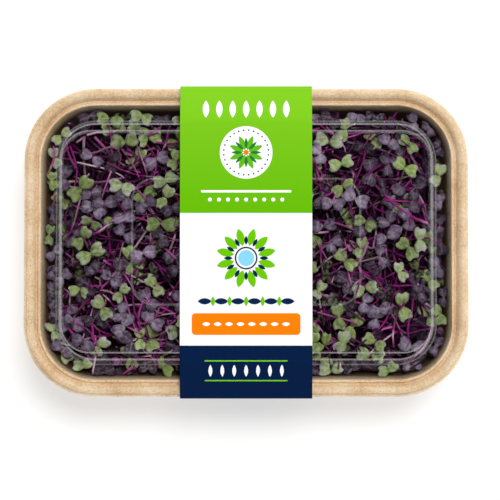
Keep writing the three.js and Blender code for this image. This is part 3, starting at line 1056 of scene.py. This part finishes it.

# Layers of loose stems, each with how far its stems lie below the lid's field, and a light that paints
# shade on the deeper layers
LOOSE_STEMS = (
    {"count": 84, "drop": (-2.5, 3.0), "length": (10, 26), "slope": 0.15,
     "thickness": (0.34, 0.54), "light": 1.0},
    {"count": 680, "drop": (-1.0, 6.5), "length": (8, 22), "slope": 0.5,
     "thickness": (0.28, 0.46), "light": 0.85},
    {"count": 800, "drop": (5.0, 14.0), "length": (8, 22), "slope": 0.6,
     "thickness": (0.3, 0.5), "light": 0.14},
)
LOOSE_AREA = (80, 54)
LOOSE_TRIES = 20
LOOSE_ROOM = 0.6
SWAY = (2.2, 2.2, 1.2)

# One leaf, from its notch round one side to its foot, in shares of its length and half width
LEAF_POINTS = 14
LEAF_OUTLINE = (
    (0.75, 0.0), (1.0, 0.36), (0.98, 0.72), (0.78, 1.0),
    (0.47, 1.02), (0.18, 0.8), (0.0, 0.36), (-0.2, 0.03),
)
LEAF_THICKNESS = 0.07

# A curve's bevel of resolution 1 has six sides
STEM_SIDES = 6
CORE_ROUND = 3.6
CORE_WALL_ROOM = 1.2


def lobe_centres(sprout):
    return np.concatenate([lobe_points(sprout, side, [(0.5, 0)]) for side in (1, -1)])


def dress_sprout(sprout, rolls, purple_share, light):
    """Its colours: how purple the leaves are, how light they are, and the tone of its stem. The light
    passed in is painted shade on the deeper layers.
    """
    roll = rolls.random()
    if roll < purple_share:
        purple = rolls.uniform(0.66, 1.08)
        light *= rolls.uniform(0.45, 1.0)
    else:
        purple = rolls.uniform(0.0, 0.42) ** 1.4
    young = sprout["fold"] > YOUNG_FOLD
    sprout["tone"] = (purple, light * rolls.uniform(0.6, 1.0), float(young))
    sprout["stem_tone"] = (rolls.random(), light, rolls.random())


def wall_bearing(x, y):
    """The direction from a point to the nearest wall."""
    run_x = distance_inside(x - 0.1, y, 0) - distance_inside(x + 0.1, y, 0)
    run_y = distance_inside(x, y - 0.1, 0) - distance_inside(x, y + 0.1, 0)
    return math.atan2(run_y, run_x)


def draw_place(rolls, area):
    return rolls.uniform(-area[0], area[0]), rolls.uniform(-area[1], area[1])


def draw_filler(rolls, layer):
    nearest, furthest = layer.get("edge", (0, TRAY_WIDTH))
    x, y = draw_place(rolls, FILLER_AREA)
    while not nearest < distance_inside(x, y, 0) < furthest:
        x, y = draw_place(rolls, FILLER_AREA)
    z = float(ceiling_over(x, y)) - rolls.uniform(*layer["drop"])
    up = unit(np.array((rolls.gauss(0, FILLER_TILT), rolls.gauss(0, FILLER_TILT), 1)))
    head = np.array((x, y, z))
    bearing = rolls.uniform(0, 2 * math.pi)
    turn = rolls.uniform(0, 2 * math.pi)
    if "edge" in layer:
        bearing = wall_bearing(x, y) + rolls.gauss(0, 0.5)
        turn = bearing + math.pi / 2 + rolls.gauss(0, 0.35)
    outwards = np.array((math.cos(bearing), math.sin(bearing), 0))
    lean = rolls.uniform(*FILLER_LEAN)
    depth = rolls.uniform(*FILLER_DEPTH)
    root = head - outwards * lean - UPWARDS * depth
    low_handle = root + UPWARDS * depth * rolls.uniform(0.2, 0.6) + outwards * lean * rolls.uniform(0, 0.5)
    high_handle = head - up * rolls.uniform(3, 7) - outwards * rolls.uniform(0, 2)
    stem = np.array((root, low_handle, high_handle, head))
    fold = rolls.uniform(*FILLER_FOLD)
    size = rolls.uniform(*layer["size"])
    if rolls.random() < YOUNG_SHARE:
        fold = rolls.uniform(YOUNG_FOLD, YOUNG_FOLD_MOST)
        size *= YOUNG_SIZE
    sprout = sprout_at(head, up, turn, fold, size, stem)
    sprout["cup"] = rolls.uniform(-0.02, 0.16)
    sprout["petiole"] = rolls.uniform(0.3, 1.0)
    sprout["sweep"] = rolls.uniform(0.0, 0.55)
    sprout["thickness"] = rolls.uniform(*FILLER_STEM)
    return sprout


def fill_in(clumps, rolls):
    """Fillers keep inside the wall and below the lid, and their leaves keep a little way apart."""
    for clump in clumps:
        purple_share = PURPLE_IN_GREEN_CLUMP if clump["green"] else PURPLE_IN_PURPLE_CLUMP
        for sprout in clump["sprouts"]:
            dress_sprout(sprout, rolls, purple_share, 1.0)
            sprout["size"] *= LEAF_SHARE
            sprout["petiole"] = rolls.uniform(0.5, 0.9)
            sprout["sweep"] = rolls.uniform(0.0, 0.4)
            sprout["thickness"] *= STEM_SHARE
    taken = np.concatenate([lobe_centres(sprout) for clump in clumps for sprout in clump["sprouts"]])
    for layer in FILLERS:
        placed = 0
        for _ in range(FILLER_TRIES * layer["count"]):
            sprout = draw_filler(rolls, layer)
            centres = lobe_centres(sprout)
            if not keeps_clear(centres, taken, layer["spacing"]):
                continue
            if not stays_in_tray(np.concatenate([sprout["stem"][:1], markers_of(sprout)]), 0.15, 0.5):
                continue
            taken = np.concatenate([taken, centres])
            dress_sprout(sprout, rolls, PURPLE_FILLERS, layer["light"])
            nearest_clump(clumps, sprout["head"])["fillers"].append(sprout)
            placed += 1
            if placed == layer["count"]:
                break


def nearest_clump(clumps, point):
    return min(clumps, key=lambda clump: (clump["x"] - point[0]) ** 2 + (clump["y"] - point[1]) ** 2)


def draw_loose_stem(rolls, layer):
    x, y = draw_place(rolls, LOOSE_AREA)
    bearing = rolls.uniform(0, 2 * math.pi)
    slope = rolls.uniform(-layer["slope"], layer["slope"])
    along = np.array((math.cos(bearing), math.sin(bearing), slope))
    middle = np.array((x, y, RIM_TOP + FIELD_HEIGHT - rolls.uniform(*layer["drop"])))
    reach = along * rolls.uniform(*layer["length"]) / 2
    low_handle = middle - reach / 3 + [rolls.gauss(0, spread) for spread in SWAY]
    high_handle = middle + reach / 3 + [rolls.gauss(0, spread) for spread in SWAY]
    return np.array((middle - reach, low_handle, high_handle, middle + reach))


def add_loose_stems(clumps, rolls, layer):
    for _ in range(layer["count"]):
        for _ in range(LOOSE_TRIES):
            stem = draw_loose_stem(rolls, layer)
            if stays_in_tray(stem_points(stem, np.arange(0, 9) / 8), LOOSE_ROOM, LOOSE_ROOM):
                break
        else:
            continue
        # The layer's light is painted shade that darkens the deeper stems.
        tone = (rolls.random(), layer["light"] * rolls.uniform(0.3, 1.0), rolls.random())
        loose = {"stem": stem, "thickness": rolls.uniform(*layer["thickness"]), "stem_tone": tone}
        nearest_clump(clumps, stem[1])["loose"].append(loose)


def leaf_template():
    """One cotyledon, modelled flat from a disc, in shares of its length, half width and again length."""
    deselect_all()
    bpy.ops.mesh.primitive_circle_add(vertices=LEAF_POINTS, radius=1, fill_type="TRIFAN")
    leaf = bpy.context.object
    bpy.ops.object.mode_set(mode="EDIT")
    bpy.ops.mesh.select_all(action="SELECT")
    bpy.ops.mesh.inset(thickness=0.36, use_even_offset=False)
    bpy.ops.object.mode_set(mode="OBJECT")
    for vertex in leaf.data.vertices:
        x, y = vertex.co.x, vertex.co.y
        step = abs(math.atan2(y, x)) / (2 * math.pi / LEAF_POINTS)
        low = min(int(step), len(LEAF_OUTLINE) - 2)
        edge = Vector(LEAF_OUTLINE[low]).lerp(Vector(LEAF_OUTLINE[low + 1]), step - low)
        ring = min(math.hypot(x, y), 1)
        place = Vector((MIDDLE, 0)).lerp(edge, ring)
        swell = 0.07 * (1 - ring) + 0.035 * math.cos(2.6 * step) * ring
        vertex.co = (place.x, math.copysign(place.y, y), swell)
    apply_modifier(leaf, "SOLIDIFY", thickness=LEAF_THICKNESS, offset=0)
    points = np.array([vertex.co[:] for vertex in leaf.data.vertices])
    faces = [list(face.vertices) for face in leaf.data.polygons]
    bpy.data.objects.remove(leaf)
    return points, faces


def leaves_mesh(name, sprouts, template, material):
    flat, faces = template
    places, spots, tones, all_faces = [], [], [], []
    for sprout in sprouts:
        for side in (1, -1):
            start = len(places) * len(flat)
            points = lobe_points(sprout, side, flat[:, :2])
            points = points + sprout["up"] * flat[:, 2:] * LOBE_LENGTH * sprout["size"]
            places.append(points)
            spots.append(flat)
            tones.append(np.tile(sprout["tone"], (len(flat), 1)))
            all_faces += [[index + start for index in face] for face in faces]
    mesh = bpy.data.meshes.new(name)
    mesh.from_pydata(np.concatenate(places) * MM, [], all_faces)
    add_vectors(mesh, "spot", np.concatenate(spots))
    add_vectors(mesh, "tone", np.concatenate(tones))
    mesh.materials.append(material)
    leaves = bpy.data.objects.new(name, mesh)
    bpy.context.scene.collection.objects.link(leaves)
    select_only(leaves)
    bpy.ops.object.shade_smooth()
    return leaves


def add_vectors(mesh, name, values):
    layer = mesh.attributes.new(name, "FLOAT_VECTOR", "POINT")
    layer.data.foreach_set("vector", np.asarray(values, dtype=np.float32).ravel())


def stems_mesh(name, stalks, material):
    """The stems as bezier curves with a round bevel, made into a mesh."""
    curve = bpy.data.curves.new(name, "CURVE")
    curve.dimensions = "3D"
    curve.resolution_u = 5
    curve.bevel_resolution = 1
    curve.bevel_depth = MM
    curve.use_fill_caps = True
    for stalk in stalks:
        spline = curve.splines.new("BEZIER")
        spline.bezier_points.add(1)
        root, low, high, head = [Vector(point) * MM for point in stalk["stem"]]
        for knot, place, before, after, swell in (
                (spline.bezier_points[0], root, root * 2 - low, low, 1.15),
                (spline.bezier_points[1], head, high, head * 2 - high, 0.8)):
            knot.handle_left_type = knot.handle_right_type = "FREE"
            knot.co, knot.handle_left, knot.handle_right = place, before, after
            knot.radius = swell * stalk["thickness"]
    stems = bpy.data.objects.new(name, curve)
    bpy.context.scene.collection.objects.link(stems)
    select_only(stems)
    bpy.ops.object.convert(target="MESH")
    stems = bpy.context.object
    bpy.ops.object.shade_smooth()
    per_stalk = len(stems.data.vertices) // len(stalks)
    tones = np.repeat([stalk["stem_tone"] for stalk in stalks], per_stalk, axis=0)
    rings = per_stalk // STEM_SIDES
    along = np.tile(np.repeat(np.arange(rings) / (rings - 1), STEM_SIDES), len(stalks))
    add_vectors(stems.data, "tone", tones)
    add_vectors(stems.data, "spot", np.column_stack([along, along, along]))
    bpy.ops.object.mode_set(mode="EDIT")
    bpy.ops.mesh.select_all(action="SELECT")
    bpy.ops.mesh.remove_doubles(threshold=1e-7)
    bpy.ops.mesh.normals_make_consistent(inside=False)
    bpy.ops.object.mode_set(mode="OBJECT")
    stems.data.materials.clear()
    stems.data.materials.append(material)
    return stems


def core_mesh(name, clump, material):
    """The dense low growth: an eight-sided block with round edges that keeps off the wall."""
    bottom = RIM_TOP + FLOOR_HEIGHT + GAP
    middle = (CORE_TOP + bottom) / 2
    deselect_all()
    bpy.ops.mesh.primitive_cylinder_add(vertices=8, radius=CORE_RADIUS * MM, depth=(CORE_TOP - bottom) * MM,
                                        location=(clump["x"] * MM, clump["y"] * MM, middle * MM),
                                        rotation=(0, 0, math.pi / 8))
    core = bpy.context.object
    core.name = name
    place_in_mesh(core)
    apply_modifier(core, "BEVEL", width=CORE_ROUND * MM, segments=3, limit_method="ANGLE", angle_limit=1.0)
    centre = np.array((clump["x"], clump["y"], 0))
    for vertex in core.data.vertices:
        point = np.array(vertex.co[:]) / MM
        excess = max(CORE_WALL_ROOM - float(room_inside(point)), 0)
        inwards = (centre - point) * (1, 1, 0)
        length = math.sqrt(inwards @ inwards)
        if length > 0:
            point = point + inwards / length * min(1.5 * excess, length)
        vertex.co = point * MM
    select_only(core)
    bpy.ops.object.shade_smooth()
    core.data.materials.append(material)
    return core


def build_microgreens(leaf_material, stem_material, core_material):
    rolls = random.Random(31)
    clumps = plan_clumps()
    fill_in(clumps, rolls)
    for layer in LOOSE_STEMS:
        add_loose_stems(clumps, rolls, layer)
    template = leaf_template()
    for number, clump in enumerate(clumps, 1):
        name = f"microgreens_{number:02d}"
        sprouts = clump["sprouts"] + clump["fillers"]
        leaves = leaves_mesh(name, sprouts, template, leaf_material)
        stems = stems_mesh(name + "_stems", sprouts + clump["loose"], stem_material)
        core = core_mesh(name + "_core", clump, core_material)
        select_only(leaves, stems, core)
        bpy.ops.object.join()
        dress(leaves, f"sprouts_{number:02d}")


def attribute_parts(tree, name):
    node = tree.nodes.new("ShaderNodeAttribute")
    node.attribute_name = name
    split = tree.nodes.new("ShaderNodeSeparateXYZ")
    tree.links.new(node.outputs["Vector"], split.inputs[0])
    return [Field(tree, split.outputs[axis]) for axis in "XYZ"]


def cotyledon():
    """A leaf from sage green to dull purple, paler along its veins and darker at its rim, with pale patches
    of waxy bloom that partly stand in as painted highlight, and painted shade from its light value on the
    deeper layers.
    """
    material = new_material("cotyledon", from_hex("6f8f45"), 0.5)
    tree = material.node_tree
    share, width, _ = attribute_parts(tree, "spot")
    purple, light, young = attribute_parts(tree, "tone")
    blotches = noise(tree, 1.3, 4, 0.7)
    fine = noise(tree, 0.35, 3)
    outer = (share - 0.4).either(0) * 0.4 + abs(width) * 0.1
    leafy = ramp(tree, (purple + blotches * 0.5 + outer) - 0.34, [
        (0.0, from_hex("87a03c")),
        (0.16, from_hex("a6ba70")),
        (0.32, from_hex("bcc5a2")),
        (0.5, from_hex("cbc0cb")),
        (0.72, from_hex("a68ab0")),
        (1.0, from_hex("452645")),
    ])
    midrib = (abs(width) * -9 + 1).either(0)
    slant = ((share - abs(width) * 0.5) * 5.5).math("FRACT") - 0.5
    branches = (abs(slant) * -7 + 1).either(0) * (abs(width) * -1.1 + 1).either(0)
    veins = midrib.either(branches * 0.7)
    lit = mix(tree, veins * (purple * -0.2 + 0.5), leafy, from_hex("e0e6c8"))
    lit = mix(tree, young * 0.85, lit, from_hex("b8429c"))
    rimmed = mix(tree, (abs(width) - 0.72).either(0) * 1.6, lit, from_hex("4a3350"))
    mottle = (noise(tree, 1.6, 2, 0.55) - 0.42).either(0) * 1.7
    # Pale lilac patches: the leaves' waxy bloom, and partly painted highlight.
    bloom_and_highlight = (noise(tree, 0.8, 3, 0.7) - 0.5).either(0) * 2.6
    bloom_and_highlight_colour = mix(tree, bloom_and_highlight.both(0.34), rimmed, from_hex("dedae4"))
    # Painted shade: the sprout's light value darkens leaves of the deeper layers towards near black, on top
    # of the mottle's dark blotches.
    shade = mix(tree, mottle + (light * -0.9 + 0.9), bloom_and_highlight_colour, (0.01, 0.003, 0.01))
    paint(material, shade)
    shader_of(material).inputs["Specular IOR Level"].default_value = 0.5
    add_bump(material, veins * -0.3 + fine * 0.35 + blotches * 0.8, 0.3)
    return material


def sprout_stem():
    """A stem from magenta to dark purple, some pale and some straw-coloured near the leaves; its light
    value paints shade towards near black on the deeper layers.
    """
    material = new_material("sprout stem", from_hex("8f2a6e"), 0.38)
    tree = material.node_tree
    along, _, _ = attribute_parts(tree, "spot")
    kind, light, chance = attribute_parts(tree, "tone")
    magenta = ramp(tree, kind, [
        (0.0, from_hex("94187e")),
        (0.45, from_hex("c8389f")),
        (0.68, from_hex("ea86cc")),
        (0.92, from_hex("f6d2e6")),
        (1.0, from_hex("c4ad80")),
    ])
    near_leaves = ((along - 0.8) * 4).either(0).both(1) * chance.above(0.45)
    straw = mix(tree, near_leaves, magenta, from_hex("8a7a45"))
    streaks = noise(tree, 0.8, 3, 0.6)
    # Painted shade: the stem's light value darkens stems of the deeper layers towards near black purple,
    # with the streaks.
    shade = mix(tree, streaks * 0.3 + (light * -0.9 + 0.9), straw, (0.02, 0.0, 0.02))
    paint(material, shade)
    add_bump(material, streaks, 0.06)
    return material


def dense_growth_in_painted_shade():
    # Painted shade: the near-black purples stand in for the shade deep in the tangle.
    material = new_material("dense low growth", from_hex("1c0a1a"), 0.7)
    tree = material.node_tree
    lumps = noise(tree, 1.4, 4, 0.7)
    tone = ramp(tree, lumps, [
        (0.35, from_hex("060106")),
        (0.55, from_hex("1c061b")),
        (0.75, from_hex("3a0f36")),
    ])
    paint(material, tone)
    add_bump(material, lumps, 1.0)
    return material


# Finish


set_camera()
set_world()
set_stage()
# The second fibre carries painted shade, darker further down the tray's inside.
build_tray(moulded_fibre("kraft moulded fibre", 0.0), moulded_fibre("inside of the fibre in painted shade", 0.9))
build_lid(
    clear_sheet("clear lid sheet", 0.0),
    # The hazier sheets at the bends paint the fine bright lines along the folds: painted highlight.
    clear_sheet("lid sheet with painted highlight at the ridge's bends", 0.15),
    clear_sheet("lid sheet with painted highlight at the panel's edge", 0.03),
    clear_sheet("lid sheet of the ridge's wall", 0.025),
)
build_sleeve(printed_card(), bare_card())
build_microgreens(cotyledon(), sprout_stem(), dense_growth_in_painted_shade())
